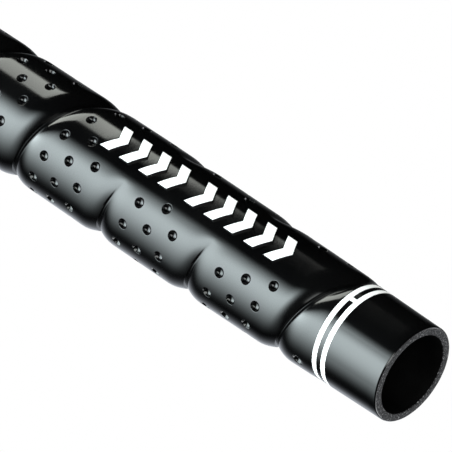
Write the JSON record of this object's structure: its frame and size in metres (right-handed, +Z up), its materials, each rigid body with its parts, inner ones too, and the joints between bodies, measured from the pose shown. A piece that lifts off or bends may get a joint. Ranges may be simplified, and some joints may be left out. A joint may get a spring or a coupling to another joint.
{
  "type": "golf club grip",
  "caption": "Slip-on golf club grip: tapered rubber sleeve with a helical wrap relief, open mouth, white alignment rings and a vented butt cap.",
  "frame": {"origin": "on the grip's axis, halfway between the mouth face and the outer face of the butt cap", "axes": "+X along the axis towards the mouth, +Z up through the alignment bar and the row of raised marks, +Y to the left when looking along +X"},
  "size_m": [0.267, 0.0276, 0.0276],
  "materials": {
    "sleeve_rubber": "glossy black moulded rubber",
    "cap_rubber": "satin black moulded rubber",
    "white_paint": "white paint fill, semi-gloss"
  },
  "bodies": {
    "root": {"grip_sleeve": "sleeve_rubber", "butt_cap": "cap_rubber", "front_ring": "white_paint", "rear_ring": "white_paint", "alignment_bar": "white_paint", "label_mark_1": "white_paint", "label_mark_2": "white_paint", "label_mark_3": "white_paint", "label_mark_4": "white_paint", "label_mark_5": "white_paint", "label_mark_6": "white_paint", "label_mark_7": "white_paint", "label_mark_8": "white_paint", "label_mark_9": "white_paint"}
  },
  "joints": []
}
